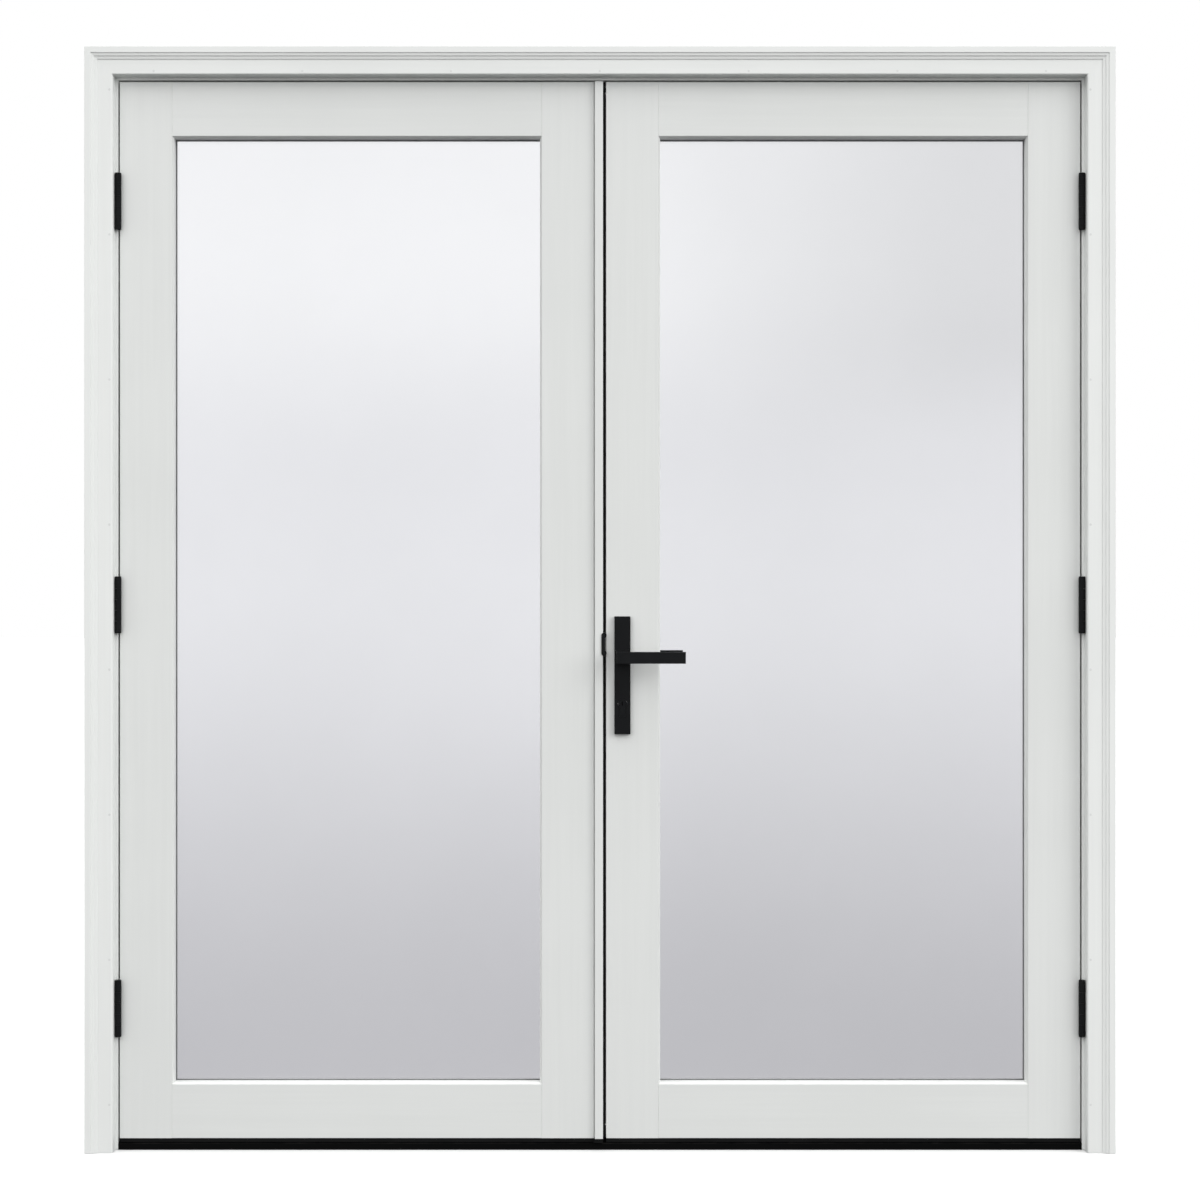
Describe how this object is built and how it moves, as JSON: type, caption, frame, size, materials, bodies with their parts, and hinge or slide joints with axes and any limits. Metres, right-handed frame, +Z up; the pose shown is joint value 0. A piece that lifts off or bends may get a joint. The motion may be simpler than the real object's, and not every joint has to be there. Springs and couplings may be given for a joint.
{
  "type": "french doors",
  "caption": "Full-glass french doors that swing outwards in a white frame with a moulded surround, black sill, black hinges, lever handle and lock.",
  "frame": {"origin": "middle of the sill's underside, half way through the frame's depth", "axes": "+Z up, +Y towards the room side, so the outer face with the moulding looks along -Y, +X to the right seen from outside"},
  "size_m": [1.946, 0.176, 2.0893],
  "materials": {
    "white_paint": "satin white paint over wood",
    "sill_metal": "black anodised extrusion",
    "sill_board": "sealed board",
    "clear_glass": "clear float glass",
    "dark_spacer": "black warm-edge spacer",
    "black_rubber": "black weather seal",
    "black_hardware": "matt black powder coat",
    "lock_steel": "zinc-plated steel"
  },
  "bodies": {
    "frame": {"sill_base": "sill_board", "sill_cap": "sill_metal", "jamb_left": "white_paint", "jamb_right": "white_paint", "jamb_head": "white_paint", "brickmould_left": "white_paint", "brickmould_right": "white_paint", "brickmould_head": "white_paint", "casing_nails": "white_paint", "weatherstrips": "black_rubber", "jamb_hinge_leaves": "black_hardware", "hinge_pins": "black_hardware", "jamb_hinge_screws": "black_hardware", "head_keeper": "lock_steel"},
    "left_leaf": {"left_hinge_stile": "white_paint", "left_meeting_stile": "white_paint", "left_top_rail": "white_paint", "left_bottom_rail": "white_paint", "left_outer_beads": "white_paint", "left_inner_beads": "white_paint", "left_outer_glass": "clear_glass", "left_inner_glass": "clear_glass", "left_spacer": "dark_spacer", "left_hinge_leaves": "black_hardware", "left_hinge_screws": "black_hardware", "left_sweep": "black_rubber", "astragal": "white_paint", "astragal_stop": "white_paint", "astragal_seal": "black_rubber", "strike_plate": "black_hardware"},
    "right_leaf": {"right_hinge_stile": "white_paint", "right_meeting_stile": "white_paint", "right_top_rail": "white_paint", "right_bottom_rail": "white_paint", "right_outer_beads": "white_paint", "right_inner_beads": "white_paint", "right_outer_glass": "clear_glass", "right_inner_glass": "clear_glass", "right_spacer": "dark_spacer", "right_hinge_leaves": "black_hardware", "right_hinge_screws": "black_hardware", "right_sweep": "black_rubber", "lock_case": "lock_steel", "lock_faceplate": "lock_steel", "lock_screws": "lock_steel", "cylinder_body": "black_hardware", "escutcheon_outer": "black_hardware", "escutcheon_inner": "black_hardware", "escutcheon_screws": "black_hardware"},
    "lever_set": {"lever_outer": "black_hardware", "lever_inner": "black_hardware", "spindle": "lock_steel", "lock_follower": "lock_steel"},
    "latch": {"latch_bolt": "lock_steel"},
    "deadbolt_slider": {"deadbolt": "lock_steel"},
    "thumbturn_set": {"thumbturn": "black_hardware", "cylinder_cam": "lock_steel"},
    "key_plug_rotor": {"key_plug": "black_hardware"},
    "upper_flush_bolt": {"flush_bolt_top": "lock_steel"},
    "lower_flush_bolt": {"flush_bolt_bottom": "lock_steel"}
  },
  "joints": [
    {"name": "right_swing", "type": "hinge", "parent": "frame", "child": "right_leaf", "pos_m": [0.9139, -0.066, 1], "axis": [0, 0, 1], "range_deg": [0, 110]},
    {"name": "left_swing", "type": "hinge", "parent": "frame", "child": "left_leaf", "pos_m": [-0.9139, -0.066, 1], "axis": [0, 0, -1], "range_deg": [0, 110]},
    {"name": "lever_turn", "type": "hinge", "parent": "right_leaf", "child": "lever_set", "pos_m": [0.0425, -0.03575, 0.936], "axis": [0, 1, 0], "range_deg": [0, 45], "stiffness_Nm_per_rad": 1.6, "springref_deg": -40.11},
    {"name": "latch_slide", "type": "slide", "parent": "right_leaf", "child": "latch", "axis": [1, 0, 0], "range_m": [0, 0.012]},
    {"name": "deadbolt_slide", "type": "slide", "parent": "right_leaf", "child": "deadbolt_slider", "axis": [-1, 0, 0], "range_m": [0, 0.02]},
    {"name": "thumb_turn", "type": "hinge", "parent": "right_leaf", "child": "thumbturn_set", "pos_m": [0.0425, -0.03575, 0.848], "axis": [0, 1, 0], "range_deg": [0, 360]},
    {"name": "key_turn", "type": "hinge", "parent": "right_leaf", "child": "key_plug_rotor", "pos_m": [0.0425, -0.03575, 0.848], "axis": [0, 1, 0], "continuous": true},
    {"name": "upper_bolt_slide", "type": "slide", "parent": "left_leaf", "child": "upper_flush_bolt", "axis": [0, 0, 1], "range_m": [0, 0.016]},
    {"name": "lower_bolt_slide", "type": "slide", "parent": "left_leaf", "child": "lower_flush_bolt", "axis": [0, 0, -1], "range_m": [0, 0.016]}
  ],
  "couplings": [
    {"joint": "latch_slide", "follows": "lever_turn", "m_per_rad": 0.01527},
    {"joint": "thumb_turn", "follows": "deadbolt_slide", "rad_per_m": 314}
  ]
}
